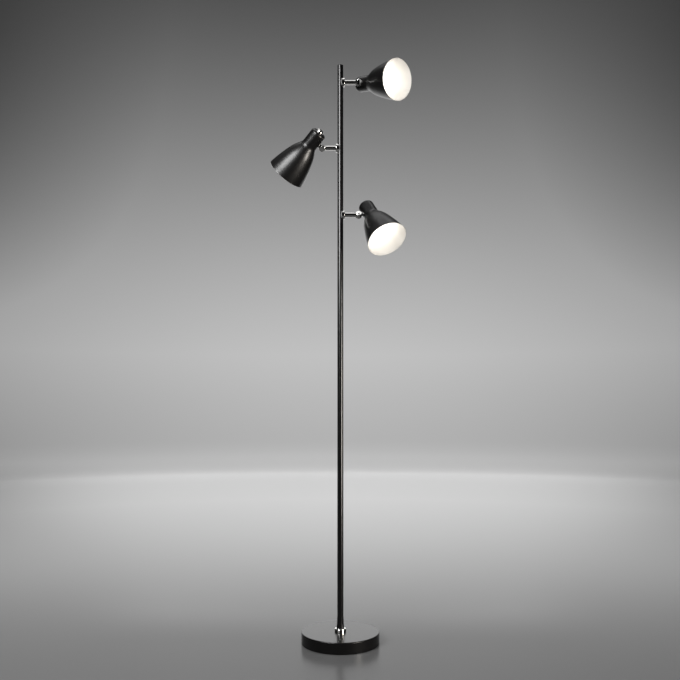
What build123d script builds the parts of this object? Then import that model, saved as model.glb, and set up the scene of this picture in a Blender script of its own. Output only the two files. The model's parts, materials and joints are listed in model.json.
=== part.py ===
# Tree floor lamp: a weighted round base, a slim pole in three sections and three bell-shaped
# metal shades, each on a short arm with a knuckle that swivels and tilts.
# Millimetres, +Z up. The origin is the centre of the base's underside, and the pole stands on Z.
# The front of the lamp faces -Y, with +X to its right. Angles are those of the photographed pose.
import os
from math import cos, radians, sin, sqrt

from build123d import *

os.makedirs("parts", exist_ok=True)

# ---- Fits ----
slip = 0.05  # radial clearance of pieces that screw, slide or turn in one another
hole_ease = 0.2  # radial clearance of a plain hole round a threaded tube
swivel_gap = 0.2  # arm tube's end to the knuckle's flange
sweep_gap = 0.3  # clearance round a knuckle half that turns
running_gap = 0.15  # hinge screw's head to the knuckle half that turns under it

# ---- Base ----
base_radius = 100.0
base_height = 29.0
cover_wall = 1.2
cover_edge_radius = 2.0
skirt_lift = 1.0  # the cover's skirt ends this far above the floor
pad_thickness = 2.0
pad_inset = 2.5
weight_clearance = 0.3
weight_thickness = 16.0
weight_boss_radius = 30.0
recess_radius = 45.0
recess_spare = 1.0
grommet_height = 9.0
grommet_radius = 5.5
grommet_wall = 2.3
grommet_flange = 2.0  # how far the flange stands out round the grommet's body
grommet_flange_thickness = 2.0
grommet_depth = 5.0  # how far the grommet reaches into the weight
cord_way_ease = 1.0  # the weight's slot is this much wider than the cord on each side

# ---- Threaded tube and its fasteners in the base ----
thread_radius = 5.0
thread_bore = 3.2
washer_radius = 14.0
washer_thickness = 2.0
base_nut_width = 17.0  # across the flats
base_nut_height = 5.0
rod_tail = 1.0
rod_engagement = 20.0
foot_bush_length = 25.0

# ---- Pole ----
pole_radius = 8.0
pole_wall = 1.2
lower_tube_length = 529.0
middle_tube_length = 513.0
joint_chamfer = 0.3
joiner_length = 50.0
joiner_wall = 1.8
cap_height = 3.0
cap_edge_radius = 1.0
cap_plug_length = 12.0
collar_radius = 14.8
collar_height = 7.5
collar_edge_radius = 2.5
ferrule_radius = 10.0
ferrule_height = 26.0
ferrule_lip = 0.4  # how far its upper edge stands proud of the pole

# ---- Arms ----
arm_to_joint = 48.5  # upper pole joint to the lower arm
arm_spacing = 185.0
arm_to_top = 45.5
arm_radius = 6.25
arm_length = 27.5
rosette_radius = 12.0
rosette_wrap = 4.0
rosette_proud = 4.0
rosette_edge_radius = 1.5
nipple_engagement = 9.0
shank_spare = 3.0  # nipple's end to the knuckle's shank, inside the arm tube
saddle_nut_radius = 6.0
saddle_nut_depth = 4.5

# ---- Snap ring that holds the knuckle in the arm tube ----
ring_width = 1.0
ring_bite = 0.6  # depth of each groove
ring_ease = 0.1
ring_inset = 3.0  # ring to the shank's inner end
ring_mouth = 3.0

# ---- Knuckle ----
ear_radius = 8.5
ear_depth = 7.05
ear_gap = 0.3  # between the two ears' mating faces
ear_edge_radius = 1.2
ear_wall = 1.9
ear_cavity_depth = 4.5
post_radius = 3.6
flange_length = 1.0
neck_gap = 1.9  # ear's rim to the shade's neck
hinge_screw_radius = 2.0
hinge_screw_head_radius = 4.2
hinge_screw_head_height = 2.0
hinge_screw_slot_width = 0.9
hinge_screw_slot_depth = 0.8
hinge_nut_width = 7.0
hinge_nut_height = 2.2
hinge_nut_chamfer = 0.4
hinge_screw_recess = 0.4  # the screw ends this far inside its nut
stem_nut_radius = 7.5
stem_nut_height = 3.5
stem_tail = 0.8

# ---- Shade ----
mouth_radius = 54.5
shade_length = 147.5
shade_wall = 1.0
neck_radius = 21.5
neck_end_radius = 7.0
crease_station = 99.5  # bell meets neck, measured from the mouth
crease_radius = 20.0
shoulder_radius = 39.0
shoulder_station = 64.5
bell_bulge = 1.2
attach_from_end = 29.5  # stem's axis to the neck's end

# ---- Lampholder and bulb ----
holder_radius = 13.75
holder_length = 44.0
holder_boss_radius = 9.0
holder_boss_length = 7.5
socket_radius = 7.5
socket_depth = 26.0
sleeve_wall = 0.4
sleeve_length = 21.0
sleeve_inset = 2.0
contact_radius = 2.5
end_screw_head_radius = 10.0
end_screw_head_height = 7.0
end_screw_dome = 5.0
end_screw_length = 15.0
end_screw_room = 0.4  # depth of the holder's hole past the screw's end
bulb_cap_radius = 6.8
bulb_cap_length = 22.0
bulb_cap_tip = 1.5
bulb_cap_tip_radius = 4.0
bulb_seat_gap = 1.5
bulb_radius = 22.5
bulb_wall = 1.0
bulb_length = 58.0  # glass only
bulb_skirt_radius = 10.5
bulb_cone_drop = 12.0  # cone meets globe, measured from the globe's centre

# ---- Heights and reaches that follow ----
weight_top = pad_thickness + weight_thickness
cover_underside = base_height - cover_wall
skirt_inner_radius = base_radius - cover_wall
recess_depth = washer_thickness + base_nut_height + rod_tail + recess_spare
recess_ceiling = pad_thickness + recess_depth
pole_inner = pole_radius - pole_wall
lower_joint = base_height + lower_tube_length
upper_joint = lower_joint + middle_tube_length
lower_arm_height = upper_joint + arm_to_joint
middle_arm_height = lower_arm_height + arm_spacing
upper_arm_height = middle_arm_height + arm_spacing
tube_top = upper_arm_height + arm_to_top
rosette_front = pole_radius + rosette_proud
arm_bore = thread_radius + slip
arm_end = rosette_front + arm_length
flange_start = arm_end + swivel_gap
reach = flange_start + flange_length + sweep_gap + ear_radius  # pole's axis to the hinge
shank_start = rosette_front + nipple_engagement + shank_spare
ring_start = shank_start + ring_inset
ear_face = ear_gap / 2
ear_back = ear_face + ear_depth
stem_seat = ear_radius + neck_gap  # hinge to the neck's surface
stem_offset = stem_seat + neck_radius  # hinge to the shade's axis
stem_end = stem_seat + shade_wall + stem_nut_height + stem_tail
attach_station = shade_length - attach_from_end
holder_back = shade_length - shade_wall - holder_boss_length
holder_front = holder_back - holder_length
bulb_seat = holder_front - bulb_seat_gap
bulb_cap_end = bulb_seat + bulb_cap_length


class Head:
    """The planes that place one lamp head, from its side of the pole, height and two angles.

    swivel turns the head about its arm: at 90 degrees the stem leans straight up.
    tilt bends the stem from the arm's line towards the side that it leans to.
    """

    def __init__(self, name, side, height, swivel, tilt):
        outward = Vector(side, 0, 0)
        lean = Vector(0, cos(radians(swivel)), sin(radians(swivel)))
        hinge = outward.cross(lean)
        stem = outward * cos(radians(tilt)) + lean * sin(radians(tilt))
        back = lean * cos(radians(tilt)) - outward * sin(radians(tilt))
        pivot = Vector(0, 0, height) + outward * reach
        mouth = pivot + stem * stem_offset - back * attach_station
        self.name = name
        self.side = side
        self.height = height
        self.arm = Plane(origin=(0, 0, height), x_dir=lean, z_dir=outward)
        self.hinge = Plane(origin=pivot, x_dir=outward, z_dir=hinge)
        self.stem = Plane(origin=pivot, x_dir=back, z_dir=stem)
        self.shade = Plane(origin=mouth, x_dir=stem, z_dir=back)
        self.profile = Plane(origin=mouth, x_dir=stem, z_dir=hinge)
        self.hinge_axis = Axis(pivot, hinge)
        self.shade_axis = Axis(mouth, back)


heads = [
    Head("upper", 1, upper_arm_height, swivel=17.2, tilt=41.6),
    Head("middle", -1, middle_arm_height, swivel=125.2, tilt=39.2),
    Head("lower", 1, lower_arm_height, swivel=54.5, tilt=21.4),
]


def save(piece, name):
    piece.part.label = name
    export_step(piece.part, f"parts/{name}.step")


# ---- Base ----
with BuildPart() as foot_pad:
    with BuildSketch():
        Circle(skirt_inner_radius - pad_inset)
    extrude(amount=pad_thickness)
foot_pad.part.label = "foot_pad"
export_step(foot_pad.part, "parts/foot_pad.step")

grommet_plane = Plane(origin=(0, base_radius, grommet_height), x_dir=(1, 0, 0), z_dir=(0, 1, 0))

with BuildPart() as base_cover:
    with BuildSketch(Plane.XY.offset(skirt_lift)):
        Circle(base_radius)
    extrude(amount=base_height - skirt_lift)
    fillet(base_cover.faces().sort_by(Axis.Z)[-1].edges(), radius=cover_edge_radius)
    with BuildSketch(Plane.XY.offset(skirt_lift)):
        Circle(skirt_inner_radius)
    extrude(amount=cover_underside - skirt_lift, mode=Mode.SUBTRACT)
    with BuildSketch(Plane.XY.offset(cover_underside)):
        Circle(thread_radius + hole_ease)
    extrude(amount=cover_wall, mode=Mode.SUBTRACT)
    with BuildSketch(grommet_plane):
        Circle(grommet_radius + slip)
    extrude(amount=-(cover_wall + weight_clearance), mode=Mode.SUBTRACT)
base_cover.part.label = "base_cover"
export_step(base_cover.part, "parts/base_cover.step")

# The cast weight has a boss under the pole, a recess for the nut and a way out for the cord.
cord_way_width = 2 * (grommet_radius - grommet_wall + cord_way_ease)
cord_way_top = grommet_height + cord_way_width / 2
with BuildPart() as base_weight:
    with BuildSketch(Plane.XY.offset(pad_thickness)):
        Circle(skirt_inner_radius - weight_clearance)
    extrude(amount=weight_thickness)
    with BuildSketch(Plane.XY.offset(weight_top)):
        Circle(weight_boss_radius)
    extrude(amount=cover_underside - weight_top)
    with BuildSketch(Plane.XY.offset(pad_thickness)):
        Circle(recess_radius)
    extrude(amount=recess_depth, mode=Mode.SUBTRACT)
    with BuildSketch(Plane.XY.offset(pad_thickness)):
        Circle(thread_radius + hole_ease)
    extrude(amount=cover_underside, mode=Mode.SUBTRACT)
    with BuildSketch(Plane.XY.offset(pad_thickness)):
        with Locations((0, base_radius / 2)):
            Rectangle(cord_way_width, base_radius)
    extrude(amount=cord_way_top - pad_thickness, mode=Mode.SUBTRACT)
    with BuildSketch(grommet_plane):
        Circle(grommet_radius + hole_ease)
    extrude(amount=-(cover_wall + grommet_depth + hole_ease), mode=Mode.SUBTRACT)
base_weight.part.label = "base_weight"
export_step(base_weight.part, "parts/base_weight.step")

with BuildPart() as cord_grommet:
    with BuildSketch(grommet_plane):
        Circle(grommet_radius)
    extrude(amount=-(cover_wall + grommet_depth))
    with BuildSketch(grommet_plane):
        Circle(grommet_radius + grommet_flange)
    extrude(amount=grommet_flange_thickness)
    fillet(cord_grommet.faces().sort_by(Axis.Y)[-1].edges(), radius=grommet_flange_thickness / 2)
    with BuildSketch(grommet_plane.offset(grommet_flange_thickness)):
        Circle(grommet_radius - grommet_wall)
    extrude(amount=-(grommet_flange_thickness + cover_wall + grommet_depth), mode=Mode.SUBTRACT)
cord_grommet.part.label = "cord_grommet"
export_step(cord_grommet.part, "parts/cord_grommet.step")

with BuildPart() as base_washer:
    with BuildSketch(Plane.XY.offset(recess_ceiling)):
        Circle(washer_radius)
        Circle(thread_radius + hole_ease, mode=Mode.SUBTRACT)
    extrude(amount=-washer_thickness)
base_washer.part.label = "base_washer"
export_step(base_washer.part, "parts/base_washer.step")

with BuildPart() as base_nut:
    with BuildSketch(Plane.XY.offset(recess_ceiling - washer_thickness)):
        RegularPolygon(radius=base_nut_width / 2, side_count=6, major_radius=False)
        Circle(thread_radius + slip, mode=Mode.SUBTRACT)
    extrude(amount=-base_nut_height)
base_nut.part.label = "base_nut"
export_step(base_nut.part, "parts/base_nut.step")

rod_start = recess_ceiling - washer_thickness - base_nut_height - rod_tail
with BuildPart() as threaded_rod:
    with BuildSketch(Plane.XY.offset(rod_start)):
        Circle(thread_radius)
        Circle(thread_bore, mode=Mode.SUBTRACT)
    extrude(amount=base_height + rod_engagement - rod_start)
threaded_rod.part.label = "threaded_rod"
export_step(threaded_rod.part, "parts/threaded_rod.step")

# ---- Foot of the pole ----
with BuildPart() as foot_bush:
    with BuildSketch(Plane.XY.offset(base_height)):
        Circle(pole_inner - slip)
        Circle(thread_radius + slip, mode=Mode.SUBTRACT)
    extrude(amount=foot_bush_length)
foot_bush.part.label = "foot_bush"
export_step(foot_bush.part, "parts/foot_bush.step")

with BuildPart() as foot_collar:
    with BuildSketch(Plane.XY.offset(base_height)):
        Circle(collar_radius)
    extrude(amount=collar_height)
    fillet(foot_collar.faces().sort_by(Axis.Z)[-1].edges(), radius=collar_edge_radius)
    with BuildSketch(Plane.XY.offset(base_height)):
        Circle(pole_radius + slip)
    extrude(amount=collar_height, mode=Mode.SUBTRACT)
foot_collar.part.label = "foot_collar"
export_step(foot_collar.part, "parts/foot_collar.step")

# The ferrule flares from the pole's own line down to the collar.
ferrule_start = base_height + collar_height
ferrule_end = ferrule_start + ferrule_height
with BuildPart() as pole_ferrule:
    with BuildSketch(Plane.XZ):
        with BuildLine():
            flare = TangentArc(
                (pole_radius + ferrule_lip, ferrule_end),
                (ferrule_radius, ferrule_start),
                tangent=(0, -1),
            )
            Polyline(
                flare @ 1,
                (pole_radius + slip, ferrule_start),
                (pole_radius + slip, ferrule_end),
                flare @ 0,
            )
        make_face()
    revolve(axis=Axis.Z)
pole_ferrule.part.label = "pole_ferrule"
export_step(pole_ferrule.part, "parts/pole_ferrule.step")


# ---- Pole ----
def make_pole_tube(start, end, holes=()):
    """A tube from one height to another, with an arm's hole on its side at each head given."""
    with BuildPart() as tube:
        with BuildSketch(Plane.XY.offset(start)):
            Circle(pole_radius)
        extrude(amount=end - start)
        chamfer(tube.edges().filter_by(GeomType.CIRCLE), length=joint_chamfer)
        with BuildSketch(Plane.XY.offset(start)):
            Circle(pole_inner)
        extrude(amount=end - start, mode=Mode.SUBTRACT)
        for head in holes:
            with BuildSketch(head.arm):
                Circle(thread_radius + hole_ease)
            extrude(amount=2 * pole_radius, mode=Mode.SUBTRACT)
    return tube


save(make_pole_tube(base_height, lower_joint), "pole_lower")
save(make_pole_tube(lower_joint, upper_joint), "pole_middle")
save(make_pole_tube(upper_joint, tube_top, heads), "pole_upper")

with BuildPart() as pole_joiners:
    for joint_height in (lower_joint, upper_joint):
        with BuildSketch(Plane.XY.offset(joint_height - joiner_length / 2)):
            Circle(pole_inner - slip)
            Circle(pole_inner - slip - joiner_wall, mode=Mode.SUBTRACT)
        extrude(amount=joiner_length)
pole_joiners.part.label = "pole_joiners"
export_step(pole_joiners.part, "parts/pole_joiners.step")

with BuildPart() as pole_cap:
    with BuildSketch(Plane.XY.offset(tube_top)):
        Circle(pole_radius)
    extrude(amount=cap_height)
    fillet(pole_cap.faces().sort_by(Axis.Z)[-1].edges(), radius=cap_edge_radius)
    with BuildSketch(Plane.XY.offset(tube_top)):
        Circle(pole_inner - slip)
    extrude(amount=-cap_plug_length)
pole_cap.part.label = "pole_cap"
export_step(pole_cap.part, "parts/pole_cap.step")

# ---- Arms ----
with BuildPart() as arm_rosettes:
    for head in heads:
        with BuildSketch(head.arm.offset(pole_radius - rosette_wrap)):
            Circle(rosette_radius)
        extrude(amount=rosette_wrap + rosette_proud)
        arm_axis = Axis((0, 0, head.height), (head.side, 0, 0))
        front = arm_rosettes.faces(Select.LAST).sort_by(arm_axis)[-1]
        fillet(front.edges(), radius=rosette_edge_radius)
        with BuildSketch(head.arm):
            Circle(thread_radius + slip)
        extrude(amount=rosette_front, mode=Mode.SUBTRACT)
        with BuildSketch(Plane.XY.offset(head.height - rosette_radius)):
            Circle(pole_radius + slip)
        extrude(amount=2 * rosette_radius, mode=Mode.SUBTRACT)
arm_rosettes.part.label = "arm_rosettes"
export_step(arm_rosettes.part, "parts/arm_rosettes.step")

with BuildPart() as arm_nipples:
    for head in heads:
        with BuildSketch(head.arm.offset(pole_inner - saddle_nut_depth)):
            Circle(thread_radius)
            Circle(thread_bore, mode=Mode.SUBTRACT)
        extrude(amount=saddle_nut_depth + pole_wall + rosette_proud + nipple_engagement)
arm_nipples.part.label = "arm_nipples"
export_step(arm_nipples.part, "parts/arm_nipples.step")

# Each saddle nut's back is curved to lie on the pole's inner wall.
with BuildPart() as saddle_nuts:
    for head in heads:
        with BuildSketch(head.arm.offset(pole_inner - saddle_nut_depth)):
            Circle(saddle_nut_radius)
            Circle(thread_radius + slip, mode=Mode.SUBTRACT)
        extrude(amount=saddle_nut_depth)
        with BuildSketch(Plane.XY.offset(head.height - saddle_nut_radius)):
            Circle(pole_radius + saddle_nut_radius)
            Circle(pole_inner - slip, mode=Mode.SUBTRACT)
        extrude(amount=2 * saddle_nut_radius, mode=Mode.SUBTRACT)
saddle_nuts.part.label = "saddle_nuts"
export_step(saddle_nuts.part, "parts/saddle_nuts.step")

with BuildPart() as arm_tubes:
    for head in heads:
        with BuildSketch(head.arm.offset(rosette_front)):
            Circle(arm_radius)
            Circle(arm_bore, mode=Mode.SUBTRACT)
        extrude(amount=arm_length)
        with BuildSketch(head.arm.offset(ring_start - ring_ease)):
            Circle(arm_bore + ring_bite)
        extrude(amount=ring_width + 2 * ring_ease, mode=Mode.SUBTRACT)
arm_tubes.part.label = "arm_tubes"
export_step(arm_tubes.part, "parts/arm_tubes.step")


# ---- Knuckle: the half that swivels in the arm tube ----
def make_inner_knuckle(head):
    with BuildPart() as knuckle:
        with BuildSketch(head.hinge.offset(-ear_face)):
            Circle(ear_radius)
        extrude(amount=-ear_depth)
        fillet(knuckle.faces().sort_by(head.hinge_axis)[0].edges(), radius=ear_edge_radius)
        with BuildSketch(head.arm.offset(flange_start)):
            Circle(arm_radius)
        extrude(amount=reach - flange_start)
        # room for the other half's ear
        with BuildSketch(head.hinge.offset(-ear_face)):
            Circle(ear_radius + sweep_gap)
        extrude(amount=ear_face + ear_back, mode=Mode.SUBTRACT)
        # hollow ear with a post for the screw
        with BuildSketch(head.hinge.offset(-ear_face)):
            Circle(ear_radius - ear_wall)
            Circle(post_radius, mode=Mode.SUBTRACT)
        extrude(amount=-ear_cavity_depth, mode=Mode.SUBTRACT)
        # shank in the arm tube, its ring groove and the way for the wires
        with BuildSketch(head.arm.offset(shank_start)):
            Circle(thread_radius)
        extrude(amount=flange_start - shank_start)
        with BuildSketch(head.arm.offset(ring_start - ring_ease)):
            Circle(arm_radius)
            Circle(thread_radius - ring_bite, mode=Mode.SUBTRACT)
        extrude(amount=ring_width + 2 * ring_ease, mode=Mode.SUBTRACT)
        with BuildSketch(head.arm.offset(shank_start)):
            Circle(thread_bore)
        extrude(amount=reach - ear_radius + ear_wall - shank_start, mode=Mode.SUBTRACT)
        with BuildSketch(head.hinge):
            Circle(hinge_screw_radius + slip)
        extrude(amount=-ear_back, mode=Mode.SUBTRACT)
    return knuckle


def make_snap_ring(head):
    with BuildPart() as ring:
        with BuildSketch(head.arm.offset(ring_start)):
            Circle(arm_bore + ring_bite - ring_ease)
            Circle(thread_radius - ring_bite + ring_ease, mode=Mode.SUBTRACT)
            with Locations((arm_radius, 0)):
                Rectangle(2 * arm_radius, ring_mouth, mode=Mode.SUBTRACT)
        extrude(amount=ring_width)
    return ring


def make_hinge_screw(head):
    head_seat = ear_back + running_gap
    with BuildPart() as screw:
        with BuildSketch(head.hinge.offset(head_seat)):
            Circle(hinge_screw_head_radius)
        extrude(amount=hinge_screw_head_height)
        crown = screw.faces().sort_by(head.hinge_axis)[-1]
        fillet(crown.edges(), radius=hinge_screw_head_height / 2)
        with BuildSketch(head.hinge.offset(head_seat + hinge_screw_head_height)):
            Rectangle(2 * hinge_screw_head_radius, hinge_screw_slot_width)
        extrude(amount=-hinge_screw_slot_depth, mode=Mode.SUBTRACT)
        with BuildSketch(head.hinge.offset(head_seat)):
            Circle(hinge_screw_radius)
        extrude(amount=-(head_seat + ear_back + hinge_nut_height - hinge_screw_recess))
    return screw


def make_hinge_nut(head):
    with BuildPart() as nut:
        with BuildSketch(head.hinge.offset(-ear_back)):
            RegularPolygon(radius=hinge_nut_width / 2, side_count=6, major_radius=False)
        extrude(amount=-hinge_nut_height)
        outer = nut.faces().sort_by(head.hinge_axis)[0]
        chamfer(outer.edges(), length=hinge_nut_chamfer)
        with BuildSketch(head.hinge.offset(-ear_back)):
            Circle(hinge_screw_radius + slip)
        extrude(amount=-hinge_nut_height, mode=Mode.SUBTRACT)
    return nut


# ---- Knuckle: the half that tilts and carries the shade ----
def make_outer_knuckle(head):
    with BuildPart() as knuckle:
        with BuildSketch(head.hinge.offset(ear_face)):
            Circle(ear_radius)
        extrude(amount=ear_depth)
        fillet(knuckle.faces().sort_by(head.hinge_axis)[-1].edges(), radius=ear_edge_radius)
        with BuildSketch(head.stem):
            Circle(arm_radius)
        extrude(amount=stem_offset)
        # room for the other half's ear
        with BuildSketch(head.hinge.offset(ear_face)):
            Circle(ear_radius + sweep_gap)
        extrude(amount=-(ear_face + ear_back), mode=Mode.SUBTRACT)
        # saddle that seats on the neck
        with BuildSketch(head.shade):
            Circle(neck_radius + slip)
        extrude(amount=shade_length, mode=Mode.SUBTRACT)
        # hollow ear with a post for the screw
        with BuildSketch(head.hinge.offset(ear_face)):
            Circle(ear_radius - ear_wall)
            Circle(post_radius, mode=Mode.SUBTRACT)
        extrude(amount=ear_cavity_depth, mode=Mode.SUBTRACT)
        # threaded stem and the way for the wires
        with BuildSketch(head.stem.offset(ear_radius + sweep_gap)):
            Circle(thread_radius)
        extrude(amount=stem_end - ear_radius - sweep_gap)
        with BuildSketch(head.stem.offset(stem_end)):
            Circle(thread_bore)
        extrude(amount=-(stem_end - ear_radius + ear_wall), mode=Mode.SUBTRACT)
        with BuildSketch(head.hinge):
            Circle(hinge_screw_radius + slip)
        extrude(amount=ear_back, mode=Mode.SUBTRACT)
    return knuckle


def make_stem_nut(head):
    """Lock nut inside the neck, with its back curved to lie on the neck's inner wall."""
    with BuildPart() as nut:
        with BuildSketch(head.stem.offset(stem_seat)):
            Circle(stem_nut_radius)
            Circle(thread_radius + slip, mode=Mode.SUBTRACT)
        extrude(amount=shade_wall + stem_nut_height)
        with BuildSketch(head.shade.offset(attach_station - stem_nut_radius)):
            Circle(neck_radius + stem_nut_radius)
            Circle(neck_radius - shade_wall - slip, mode=Mode.SUBTRACT)
        extrude(amount=2 * stem_nut_radius, mode=Mode.SUBTRACT)
    return nut


# ---- Shade ----
def make_shade(head):
    """Spun bell and neck, one wall thick all over, open at the mouth."""
    with BuildPart() as shade:
        with BuildSketch(head.profile):
            with BuildLine() as outline:
                bell = SagittaArc(
                    (mouth_radius, 0), (shoulder_radius, shoulder_station), -bell_bulge
                )
                crease = Vector(neck_radius, crease_station)
                TangentArc(bell @ 1, crease, tangent=bell % 1)
                neck = Line(crease, (neck_radius, shade_length - neck_end_radius))
                end_round = TangentArc(
                    neck @ 1, (neck_radius - neck_end_radius, shade_length), tangent=neck % 1
                )
                Line(end_round @ 1, (thread_radius + hole_ease, shade_length))
                fillet(outline.vertices().sort_by_distance(crease)[0], radius=crease_radius)
                offset(amount=shade_wall, side=Side.LEFT)
            make_face()
        revolve(axis=head.shade_axis)
        with BuildSketch(head.stem):
            Circle(thread_radius + hole_ease)
        extrude(amount=stem_offset, mode=Mode.SUBTRACT)
    return shade


def make_end_screw(head):
    """Domed screw outside the neck's end, threaded into the lampholder's back."""
    with BuildPart() as screw:
        with BuildSketch(head.shade.offset(shade_length)):
            Circle(end_screw_head_radius)
        extrude(amount=end_screw_head_height)
        fillet(screw.faces().sort_by(head.shade_axis)[-1].edges(), radius=end_screw_dome)
        with BuildSketch(head.shade.offset(shade_length)):
            Circle(thread_radius)
        extrude(amount=-end_screw_length)
    return screw


# ---- Lampholder and bulb ----
def make_lampholder(head):
    with BuildPart() as holder:
        with BuildSketch(head.shade.offset(holder_front)):
            Circle(holder_radius)
        extrude(amount=holder_length)
        with BuildSketch(head.shade.offset(holder_back)):
            Circle(holder_boss_radius)
        extrude(amount=holder_boss_length)
        with BuildSketch(head.shade.offset(holder_front)):
            Circle(socket_radius)
        extrude(amount=socket_depth, mode=Mode.SUBTRACT)
        with BuildSketch(head.shade.offset(shade_length - end_screw_length - end_screw_room)):
            Circle(thread_radius + slip)
        extrude(amount=end_screw_length, mode=Mode.SUBTRACT)
    return holder


def make_socket_sleeve(head):
    with BuildPart() as sleeve:
        with BuildSketch(head.shade.offset(holder_front + sleeve_inset)):
            Circle(socket_radius - slip)
            Circle(socket_radius - slip - sleeve_wall, mode=Mode.SUBTRACT)
        extrude(amount=sleeve_length)
    return sleeve


def make_socket_contact(head):
    with BuildPart() as contact:
        with BuildSketch(head.shade.offset(bulb_cap_end)):
            Circle(contact_radius)
        extrude(amount=holder_front + socket_depth - bulb_cap_end)
    return contact


def make_bulb_cap(head):
    with BuildPart() as cap:
        with BuildSketch(head.shade.offset(bulb_seat)):
            Circle(bulb_cap_radius)
        extrude(amount=bulb_cap_length - bulb_cap_tip)
        with BuildSketch(head.shade.offset(bulb_cap_end - bulb_cap_tip)):
            Circle(bulb_cap_tip_radius)
        extrude(amount=bulb_cap_tip)
    return cap


def make_bulb_globe(head):
    """Hollow round globe on a cone that narrows to the metal cap."""
    globe_centre = bulb_seat - bulb_length + bulb_radius
    cone_station = globe_centre + bulb_cone_drop
    cone_radius = sqrt(bulb_radius**2 - bulb_cone_drop**2)
    with BuildPart() as globe:
        with BuildSketch(head.profile):
            with BuildLine():
                skirt = Polyline(
                    (bulb_cap_radius, bulb_seat),
                    (bulb_skirt_radius, bulb_seat),
                    (cone_radius, cone_station),
                )
                ThreePointArc(skirt @ 1, (bulb_radius, globe_centre), (0, globe_centre - bulb_radius))
                offset(amount=bulb_wall, side=Side.RIGHT)
            make_face()
        revolve(axis=head.shade_axis)
    return globe


head_pieces = {
    "inner_knuckle": make_inner_knuckle,
    "snap_ring": make_snap_ring,
    "hinge_screw": make_hinge_screw,
    "hinge_nut": make_hinge_nut,
    "outer_knuckle": make_outer_knuckle,
    "stem_nut": make_stem_nut,
    "shade": make_shade,
    "end_screw": make_end_screw,
    "lampholder": make_lampholder,
    "socket_sleeve": make_socket_sleeve,
    "socket_contact": make_socket_contact,
    "bulb_cap": make_bulb_cap,
    "bulb_globe": make_bulb_globe,
}

for head in heads:
    for piece_name, make_piece in head_pieces.items():
        save(make_piece(head), f"{piece_name}_{head.name}")
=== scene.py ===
"""Tree floor lamp: finishes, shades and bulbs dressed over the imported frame."""
import json
import math

import bpy
from mathutils import Matrix, Vector


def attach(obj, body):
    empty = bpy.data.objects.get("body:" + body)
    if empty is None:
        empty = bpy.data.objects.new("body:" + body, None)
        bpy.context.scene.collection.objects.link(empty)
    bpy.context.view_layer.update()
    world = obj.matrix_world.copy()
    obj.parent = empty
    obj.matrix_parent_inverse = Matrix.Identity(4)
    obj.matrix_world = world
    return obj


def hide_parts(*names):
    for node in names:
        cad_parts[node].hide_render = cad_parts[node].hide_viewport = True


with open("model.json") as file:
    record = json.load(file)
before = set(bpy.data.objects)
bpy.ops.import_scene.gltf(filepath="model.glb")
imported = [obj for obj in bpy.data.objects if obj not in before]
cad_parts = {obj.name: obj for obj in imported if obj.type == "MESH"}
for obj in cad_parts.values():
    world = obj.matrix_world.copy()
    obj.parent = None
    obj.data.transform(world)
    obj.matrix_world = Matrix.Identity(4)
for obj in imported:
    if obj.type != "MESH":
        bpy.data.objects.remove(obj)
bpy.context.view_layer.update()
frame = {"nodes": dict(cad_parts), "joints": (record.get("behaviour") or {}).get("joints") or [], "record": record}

# ---- Sizes in metres, as in the CAD source ----
MOUTH_RADIUS = 0.0545
SHADE_LENGTH = 0.1475
SHADE_WALL = 0.001
NECK_RADIUS = 0.0215
NECK_END_RADIUS = 0.007
CREASE_STATION = 0.0995
CREASE_RADIUS = 0.02
SHOULDER_RADIUS = 0.039
SHOULDER_STATION = 0.0645
BELL_BULGE = 0.0012
END_HOLE_RADIUS = 0.0052
STEM_OFFSET = 0.0319  # hinge to the shade's axis
ATTACH_STATION = 0.118  # mouth to the stem
BULB_RADIUS = 0.0225
BULB_SEAT = 0.0935  # mouth to the glass's seat on the lampholder
BULB_LENGTH = 0.058
BULB_CAP_RADIUS = 0.0068
BULB_SKIRT_RADIUS = 0.0105
BULB_CONE_DROP = 0.012
BULB_EDGE_HEIGHT = 0.001  # the narrow bevel round the skirt's end
BULB_EDGE_DEPTH = 0.0008
BULB_TIP_RADIUS = 1e-6  # the globe all but closes on its axis

# ---- Steps of the turned pieces ----
ROUND_STEPS = 144  # round every one
BELL_STEPS, DOME_STEPS, CREASE_STEPS, NECK_STEPS, END_STEPS = 26, 14, 12, 6, 10  # along a shade
RIM_STEPS = 6  # over a shade's rim
GLOBE_STEPS = 40  # along a bulb

HEADS = ("upper", "middle", "lower")
joints = {joint["name"]: joint for joint in frame["joints"]}


# ---- Materials ----
def new_material(name, colour, roughness, metallic=0.0):
    """A Principled material of one colour, roughness and metallic level."""
    material = bpy.data.materials.new(name)
    material.use_nodes = True
    shader = material.node_tree.nodes["Principled BSDF"]
    shader.inputs["Base Color"].default_value = (*colour, 1)
    shader.inputs["Roughness"].default_value = roughness
    shader.inputs["Metallic"].default_value = metallic
    return material


def noise(material, scale, detail=3.0):
    """A noise texture in object space, whose vertices are in the shared frame."""
    nodes, links = material.node_tree.nodes, material.node_tree.links
    place = nodes.new("ShaderNodeTexCoord")
    texture = nodes.new("ShaderNodeTexNoise")
    texture.inputs["Scale"].default_value = scale
    texture.inputs["Detail"].default_value = detail
    links.new(place.outputs["Object"], texture.inputs["Vector"])
    return texture.outputs["Fac"]


def spread(nodes, links, value, start, end, low, high, smooth=False):
    """The value's span from start to end mapped on to low to high."""
    node = nodes.new("ShaderNodeMapRange")
    if smooth:
        node.interpolation_type = "SMOOTHSTEP"
    node.inputs["From Min"].default_value = start
    node.inputs["From Max"].default_value = end
    node.inputs["To Min"].default_value = low
    node.inputs["To Max"].default_value = high
    links.new(value, node.inputs["Value"])
    return node.outputs["Result"]


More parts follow.
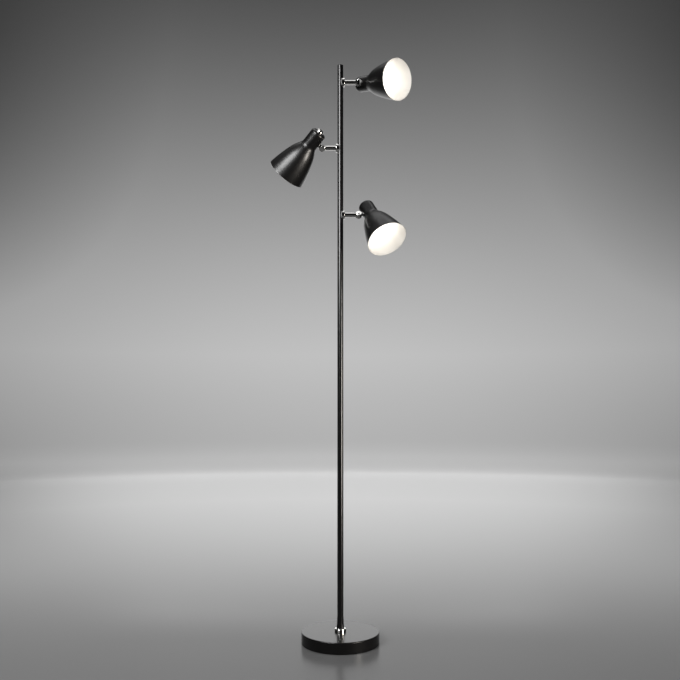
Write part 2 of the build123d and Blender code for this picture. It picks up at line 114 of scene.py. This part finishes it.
def vary_roughness(material, scale, low, high):
    nodes, links = material.node_tree.nodes, material.node_tree.links
    result = spread(nodes, links, noise(material, scale), 0.3, 0.7, low, high)
    links.new(result, nodes["Principled BSDF"].inputs["Roughness"])


def vary_colour(material, scale, dark, light):
    nodes, links = material.node_tree.nodes, material.node_tree.links
    ramp = nodes.new("ShaderNodeValToRGB")
    ramp.color_ramp.elements[0].position = 0.35
    ramp.color_ramp.elements[0].color = (*dark, 1)
    ramp.color_ramp.elements[1].position = 0.65
    ramp.color_ramp.elements[1].color = (*light, 1)
    links.new(noise(material, scale, detail=5.0), ramp.inputs["Fac"])
    links.new(ramp.outputs["Color"], nodes["Principled BSDF"].inputs["Base Color"])


def roughen(material, scale, depth, strength=0.2):
    """Fine bumps of the given depth in metres."""
    nodes, links = material.node_tree.nodes, material.node_tree.links
    bump = nodes.new("ShaderNodeBump")
    bump.inputs["Strength"].default_value = strength
    bump.inputs["Distance"].default_value = depth
    links.new(noise(material, scale), bump.inputs["Height"])
    links.new(bump.outputs["Normal"], nodes["Principled BSDF"].inputs["Normal"])


def satin_black(name, smoothest, roughest):
    """Sprayed satin black lacquer with a very faint orange peel."""
    material = new_material(name, (0.0055, 0.005, 0.0052), roughest)
    material.node_tree.nodes["Principled BSDF"].inputs["IOR"].default_value = 1.43
    vary_roughness(material, 320.0, smoothest, roughest)
    vary_colour(material, 150.0, (0.0048, 0.0043, 0.0045), (0.0062, 0.0057, 0.0058))
    roughen(material, 700.0, 0.0001, strength=0.12)
    return material


def polished_chrome():
    material = new_material("polished_chrome", (0.8, 0.79, 0.77), 0.07, metallic=1.0)
    vary_roughness(material, 140.0, 0.04, 0.1)
    vary_colour(material, 90.0, (0.76, 0.75, 0.73), (0.83, 0.82, 0.8))
    return material


def white_enamel():
    """The shade's inside: white lacquer, slightly creamy."""
    material = new_material("white_enamel", (0.92, 0.91, 0.885), 0.42)
    vary_roughness(material, 50.0, 0.38, 0.48)
    vary_colour(material, 18.0, (0.905, 0.89, 0.865), (0.935, 0.925, 0.905))
    roughen(material, 700.0, 0.0002)
    return material


def opal_glow():
    """Lit opal envelope of the bulb."""
    material = new_material("opal_glow", (0.95, 0.93, 0.88), 0.35)
    shader = material.node_tree.nodes["Principled BSDF"]
    shader.inputs["Emission Color"].default_value = (1.0, 0.965, 0.91, 1)
    shader.inputs["Emission Strength"].default_value = 2.8
    vary_roughness(material, 40.0, 0.3, 0.4)
    return material


def plain(name, colour, roughness, metallic, shift, scale, bump_scale, bump_depth):
    """A hidden or minor piece: colour and roughness vary a little, over a fine bump."""
    material = new_material(name, colour, roughness, metallic)
    dark = tuple(channel * (1 - shift) for channel in colour)
    light = tuple(min(channel * (1 + shift), 1.0) for channel in colour)
    vary_colour(material, scale, dark, light)
    vary_roughness(material, scale, roughness * 0.85, min(roughness * 1.15, 1.0))
    roughen(material, bump_scale, bump_depth)
    return material


FINISHES = {
    "black_paint": satin_black("satin_black_lacquer", 0.32, 0.36),
    "chrome": polished_chrome(),
    "cast_iron": plain("rough_cast_iron", (0.1, 0.1, 0.1), 0.75, 0.6, 0.3, 60.0, 350.0, 0.001),
    "zinc_steel": plain(
        "zinc_plated_steel", (0.62, 0.62, 0.6), 0.32, 1.0, 0.1, 80.0, 400.0, 0.0002
    ),
    "black_rubber": plain("black_rubber", (0.02, 0.02, 0.02), 0.7, 0.0, 0.2, 90.0, 500.0, 0.0004),
    "foot_pad": plain("foam_pad", (0.035, 0.035, 0.035), 0.95, 0.0, 0.25, 200.0, 900.0, 0.001),
    "white_plastic": plain(
        "white_socket_plastic", (0.86, 0.85, 0.82), 0.4, 0.0, 0.03, 70.0, 500.0, 0.0002
    ),
    "brass": plain("socket_brass", (0.8, 0.62, 0.3), 0.3, 1.0, 0.08, 80.0, 400.0, 0.0002),
    "bulb_metal": plain("bulb_cap_metal", (0.7, 0.69, 0.66), 0.3, 1.0, 0.06, 80.0, 400.0, 0.0002),
    "opal_glass": opal_glow(),
}
ENAMEL = white_enamel()
STAND_BLACK = satin_black("satin_black_stand", 0.22, 0.26)  # smoother than on the shades
STAND = ("base_cover", "pole_ferrule", "pole_lower", "pole_middle", "pole_upper", "pole_cap")

slot_of = {row["node"]: row["material_slot"] for row in frame["record"]["subparts"]}
for node_name, node in frame["nodes"].items():
    node.data.materials.clear()
    node.data.materials.append(STAND_BLACK if node_name in STAND else FINISHES[slot_of[node_name]])


# ---- Turned pieces, whose outlines are (radius, station) points ----
def sweep(centre, start, end, steps):
    """Points from start to end round the centre, the short way."""
    spoke, last = start - centre, end - centre
    turn = math.atan2(spoke.x * last.y - spoke.y * last.x, spoke.dot(last))
    points = []
    for step in range(steps + 1):
        c, s = math.cos(turn * step / steps), math.sin(turn * step / steps)
        points.append(centre + Vector((spoke.x * c - spoke.y * s, spoke.x * s + spoke.y * c)))
    return points


def shade_outline():
    """Outer profile from the mouth to the hole in the neck's end."""
    mouth = Vector((MOUTH_RADIUS, 0))
    shoulder = Vector((SHOULDER_RADIUS, SHOULDER_STATION))
    crease = Vector((NECK_RADIUS, CREASE_STATION))
    # the bell is an arc that swells by its bulge
    way = (shoulder - mouth).normalized()
    half = (shoulder - mouth).length / 2
    bell_radius = (half**2 + BELL_BULGE**2) / (2 * BELL_BULGE)
    inward = Vector((-way.y, way.x))
    bell_centre = (mouth + shoulder) / 2 + inward * (bell_radius - BELL_BULGE)
    # the dome leaves it smoothly and runs to the crease
    normal = (shoulder - bell_centre).normalized()
    chord = crease - shoulder
    dome_centre = shoulder + normal * (chord.length_squared / (2 * chord.dot(normal)))
    dome_radius = (shoulder - dome_centre).length
    # the crease's rounding touches the dome and the neck
    reach = dome_radius + CREASE_RADIUS
    across = NECK_RADIUS + CREASE_RADIUS
    rise = math.sqrt(reach**2 - (across - dome_centre.x) ** 2)
    crease_centre = Vector((across, dome_centre.y + rise))
    dome_end = dome_centre + (crease_centre - dome_centre) * (dome_radius / reach)
    neck_start = Vector((NECK_RADIUS, crease_centre.y))
    neck_end = Vector((NECK_RADIUS, SHADE_LENGTH - NECK_END_RADIUS))
    end_centre = Vector((NECK_RADIUS - NECK_END_RADIUS, neck_end.y))
    end_flat = Vector((end_centre.x, SHADE_LENGTH))
    outline = sweep(bell_centre, mouth, shoulder, BELL_STEPS)
    outline += sweep(dome_centre, shoulder, dome_end, DOME_STEPS)[1:]
    outline += sweep(crease_centre, dome_end, neck_start, CREASE_STEPS)[1:]
    outline += [neck_start.lerp(neck_end, step / NECK_STEPS) for step in range(1, NECK_STEPS)]
    outline += sweep(end_centre, neck_end, end_flat, END_STEPS)
    return outline + [Vector((END_HOLE_RADIUS, SHADE_LENGTH))]


def inset(outline, wall):
    """The outline moved inwards by one wall."""
    moved = []
    for here, point in enumerate(outline):
        before = outline[max(here - 1, 0)]
        after = outline[min(here + 1, len(outline) - 1)]
        way = (after - before).normalized()
        moved.append(point + Vector((-way.y, way.x)) * wall)
    return moved


def turned(name, sections, matrix):
    """A surface of revolution. sections is a list of (outline, material); each follows the last."""
    vertices, faces, face_materials = [], [], []
    for index, (outline, _) in enumerate(sections):
        base = len(vertices)
        for radius, station in outline:
            for step in range(ROUND_STEPS):
                a = 2 * math.pi * step / ROUND_STEPS
                vertices.append((radius * math.cos(a), radius * math.sin(a), station))
        for ring in range(len(outline) - 1):
            for step in range(ROUND_STEPS):
                here = base + ring * ROUND_STEPS + step
                beside = base + ring * ROUND_STEPS + (step + 1) % ROUND_STEPS
                faces.append((here, beside, beside + ROUND_STEPS, here + ROUND_STEPS))
                face_materials.append(index)
    mesh = bpy.data.meshes.new(name)
    mesh.from_pydata(vertices, [], faces)
    for _, material in sections:
        mesh.materials.append(material)
    mesh.polygons.foreach_set("material_index", face_materials)
    mesh.polygons.foreach_set("use_smooth", [True] * len(faces))
    mesh.transform(matrix)
    piece = bpy.data.objects.new(name, mesh)
    bpy.context.scene.collection.objects.link(piece)
    return piece


def head_matrix(name):
    """Shade space: the origin at the mouth's centre, Z towards the neck's end, X along the stem."""
    tilt = joints[f"{name}_tilt"]
    pivot = Vector(tilt["pos_m"])
    hinge = Vector(tilt["axis"]).normalized()
    outward = Vector((math.copysign(1, pivot.x), 0, 0))
    lean = hinge.cross(outward)
    angle = math.radians(-tilt["range_deg"][0])
    stem = outward * math.cos(angle) + lean * math.sin(angle)
    back = lean * math.cos(angle) - outward * math.sin(angle)
    mouth = pivot + stem * STEM_OFFSET - back * ATTACH_STATION
    rows = Matrix((stem, back.cross(stem), back)).transposed()
    return Matrix.Translation(mouth) @ rows.to_4x4()


def make_shade(name):
    """Bell and neck, black outside, with a rounded rim and a white inside."""
    outer = shade_outline()
    inner = inset(outer, SHADE_WALL)
    rim_centre = (outer[0] + inner[0]) / 2
    across = (outer[0] - inner[0]) / 2
    rim = []
    for step in range(RIM_STEPS + 1):
        a = math.pi * step / RIM_STEPS
        rim.append(rim_centre + across * math.cos(a) - Vector((0, across.length * math.sin(a))))
    lift = Vector((0, across.length))  # the rounded rim stays within the mouth's plane
    rim = [point + lift for point in rim]
    outer[0] = rim[0]
    inner[0] = rim[-1]
    piece = turned(
        f"bell_shade_{name}",
        [(outer, FINISHES["black_paint"]), (rim + inner[1:], ENAMEL)],
        head_matrix(name),
    )
    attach(piece, f"{name}_head")
    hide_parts(f"shade_{name}")


def make_bulb(name):
    """Lit opal globe that narrows to its skirt."""
    centre = Vector((0, BULB_SEAT - BULB_LENGTH + BULB_RADIUS))
    cone_radius = math.sqrt(BULB_RADIUS**2 - BULB_CONE_DROP**2)
    cone = centre + Vector((cone_radius, BULB_CONE_DROP))
    outline = sweep(centre, centre - Vector((0, BULB_RADIUS)), cone, GLOBE_STEPS)
    outline[0].x = BULB_TIP_RADIUS
    outline.append(Vector((BULB_SKIRT_RADIUS, BULB_SEAT - BULB_EDGE_HEIGHT)))
    outline.append(Vector((BULB_SKIRT_RADIUS - BULB_EDGE_DEPTH, BULB_SEAT)))
    outline.append(Vector((BULB_CAP_RADIUS, BULB_SEAT)))
    piece = turned(f"lit_bulb_{name}", [(outline, FINISHES["opal_glass"])], head_matrix(name))
    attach(piece, f"{name}_head")
    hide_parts(f"bulb_globe_{name}")


for head_name in HEADS:
    make_shade(head_name)
    make_bulb(head_name)


# ---- Studio ----
STUDIO_COLOUR = (0.25, 0.25, 0.25)
SEEN_GLOW = 0.54  # the glow behind the lamp, as the camera sees it
CALM_GLOW = 0.18  # the same elsewhere
MIRRORED_GLOW = 1.35  # the glow behind the lamp, as gloss mirrors it
PAINTED_DARK_REFLECTION = (0.02, 0.02, 0.02)  # painted dark reflection: the near-black colour that glossy rays alone see before the lamp
STUDIO_CENTRE = (0, 0, 0.8)  # the lamp's middle, from which directions in the studio are taken


def studio_grey():
    """Pale floor and wall that glow behind the lamp, with a painted dark reflection before it that gloss alone
    sees.
    """
    material = new_material("studio_grey", STUDIO_COLOUR, 0.25)
    material.node_tree.nodes["Principled BSDF"].inputs["IOR"].default_value = 1.16
    nodes, links = material.node_tree.nodes, material.node_tree.links

    def combine(operation, first, *others):
        for other in others:
            node = nodes.new("ShaderNodeMath")
            node.operation = operation
            links.new(first, node.inputs[0])
            links.new(other, node.inputs[1])
            first = node.outputs["Value"]
        return first

    place = nodes.new("ShaderNodeNewGeometry")
    shift = nodes.new("ShaderNodeVectorMath")
    shift.operation = "SUBTRACT"
    shift.inputs[1].default_value = STUDIO_CENTRE
    links.new(place.outputs["Position"], shift.inputs[0])
    way = nodes.new("ShaderNodeVectorMath")
    way.operation = "NORMALIZE"
    links.new(shift.outputs["Vector"], way.inputs[0])
    parts = nodes.new("ShaderNodeSeparateXYZ")
    links.new(way.outputs["Vector"], parts.inputs["Vector"])
    side, back, up = parts.outputs["X"], parts.outputs["Y"], parts.outputs["Z"]
    path = nodes.new("ShaderNodeLightPath")
    seen = path.outputs["Is Camera Ray"]
    # behind the lamp: brightest about the horizon, darker upwards, outwards and on the near floor
    low = spread(nodes, links, up, 0.72, -0.08, 0.0, SEEN_GLOW, smooth=True)
    near = spread(nodes, links, up, -0.95, -0.25, 0.1, 0.47)
    dip = spread(nodes, links, up, -0.25, -0.18, 0.0, -0.08)  # where the floor mirrors the wall
    rise = spread(nodes, links, up, -0.155, -0.115, 0.0, 0.28, smooth=True)
    horizon = spread(nodes, links, up, -0.09, 0.06, 0.0, 0.33)
    far = combine("ADD", near, dip, rise, horizon)
    aside = combine("MULTIPLY", side, side)
    inner = spread(nodes, links, aside, 0.0, 0.5, 1.0, 0.45)
    corner = spread(nodes, links, combine("MULTIPLY", aside, up), 0.03, 0.12, 1.0, 0.1)
    facing = spread(nodes, links, back, 0.0, 0.35, 0.0, 1.0, smooth=True)
    central = spread(nodes, links, aside, 0.24, 0.6, 1.0, 0.0, smooth=True)
    behind = combine("MULTIPLY", facing, central)
    backdrop = combine("MULTIPLY", seen, low, far, inner, corner, behind)
    # elsewhere: an even, calm grey
    around = spread(nodes, links, behind, 1.0, 0.0, 0.0, CALM_GLOW)
    distant = spread(nodes, links, up, -0.85, -0.3, 0.0, 1.0, smooth=True)
    surround = combine("MULTIPLY", seen, around, distant)
    # what gloss mirrors
    mirrored = spread(nodes, links, path.outputs["Is Glossy Ray"], 0.0, 1.0, 0.0, MIRRORED_GLOW)
    level = spread(nodes, links, up, -0.6, 0.05, 0.0, 1.0, smooth=True)
    narrow = spread(nodes, links, back, 0.75, 0.97, 0.0, 1.0, smooth=True)
    mirrored = combine("MULTIPLY", mirrored, narrow, level)
    shader = nodes["Principled BSDF"]
    shader.inputs["Emission Color"].default_value = (1, 1, 1, 1)
    links.new(combine("ADD", backdrop, surround, mirrored), shader.inputs["Emission Strength"])

    # painted dark reflection: before the lamp, above the near floor, glossy rays alone see the floor and wall near
    # black
    before = spread(nodes, links, back, -0.35, -0.75, 0.0, 1.0, smooth=True)
    raised = spread(nodes, links, up, -0.65, -0.4, 0.0, 1.0, smooth=True)
    painted_dark_mask = combine("MULTIPLY", path.outputs["Is Glossy Ray"], before, raised)
    shade = nodes.new("ShaderNodeMix")
    shade.data_type = "RGBA"
    shade.inputs["A"].default_value = (*STUDIO_COLOUR, 1)
    shade.inputs["B"].default_value = (*PAINTED_DARK_REFLECTION, 1)
    links.new(painted_dark_mask, shade.inputs["Factor"])
    links.new(shade.outputs["Result"], shader.inputs["Base Color"])
    return material


def make_floor():
    """A floor that sweeps up into a wall all round, far from the lamp."""
    flat, sweep_radius, wall = 5.0, 3.0, 9.0
    centre = Vector((flat, sweep_radius))
    outline = [Vector((0.0001, 0)), Vector((1.5, 0))]
    outline += sweep(centre, Vector((flat, 0)), Vector((flat + sweep_radius, sweep_radius)), 24)
    outline.append(Vector((flat + sweep_radius, wall)))
    floor = turned("studio_floor", [(outline, studio_grey())], Matrix.Identity(4))
    return floor


def softbox(name, place, aim, width, height, radiance, colour=(1, 1, 1)):
    """A rectangular lamp whose power gives it the same radiance at any size."""
    data = bpy.data.lights.new(name, "AREA")
    data.shape = "RECTANGLE"
    data.size, data.size_y = width, height
    data.energy = radiance * math.pi * width * height
    data.color = colour
    lamp = bpy.data.objects.new(name, data)
    lamp.location = place
    lamp.rotation_euler = (Vector(aim) - Vector(place)).to_track_quat("-Z", "Y").to_euler()
    bpy.context.scene.collection.objects.link(lamp)
    return lamp


def sheen(name, place, *settings):
    """A softbox just behind another that shows in the lamp's gloss alone, for its highlights."""
    lamp = softbox(name, Vector(place) * SHEEN_SETBACK, *settings)
    lamp.visible_diffuse = False
    lamp.light_linking.receiver_collection = matt


SHEEN_SETBACK = 1.02
WARM = (1.0, 0.93, 0.85)
# place, aim, width and height
LEFT = ((-1.5, -2.13, 2.05), (0, 0, 1.3), 1.6, 1.5)
RIGHT = ((1.8, -1.27, 0.6), (0, 0, 0.65), 0.6, 1.1)
TOP = ((0.0, 0.5, 3.5), (0, 0, 0), 2.0, 1.6)

# the sheens and the low right softbox leave the floor out
matt = bpy.data.collections.new("left_out_by_lamps")
matt.objects.link(make_floor())
matt.collection_objects[0].light_linking.link_state = "EXCLUDE"

softbox("left_softbox", *LEFT, 5.5).visible_glossy = False
right_softbox = softbox("right_softbox", *RIGHT, 9.0, WARM)
right_softbox.visible_glossy = False
right_softbox.light_linking.receiver_collection = matt
softbox("top_softbox", *TOP, 1.4)
sheen("left_sheen", *LEFT, 20.5)
sheen("right_sheen", *RIGHT, 36.0, WARM)

world = bpy.data.worlds.new("studio_world")
world.use_nodes = True
world.node_tree.nodes["Background"].inputs["Color"].default_value = (0.6, 0.6, 0.6, 1)
world.node_tree.nodes["Background"].inputs["Strength"].default_value = 0.35
bpy.context.scene.world = world

# ---- Camera: 2.01 m in front of the pole, 0.60 m up, pitched up by five degrees ----
CAMERA_DISTANCE = 2.014
CAMERA_HEIGHT = 0.6023
CAMERA_PITCH = 5.06
camera_data = bpy.data.cameras.new("camera")
camera_data.sensor_width = 36.0
camera_data.lens = 40.24
camera = bpy.data.objects.new("camera", camera_data)
camera.location = (-0.001, -CAMERA_DISTANCE, CAMERA_HEIGHT)
camera.rotation_euler = (math.radians(90 + CAMERA_PITCH), 0, 0)
bpy.context.scene.collection.objects.link(camera)
bpy.context.scene.camera = camera
bpy.context.scene.view_settings.view_transform = "Standard"
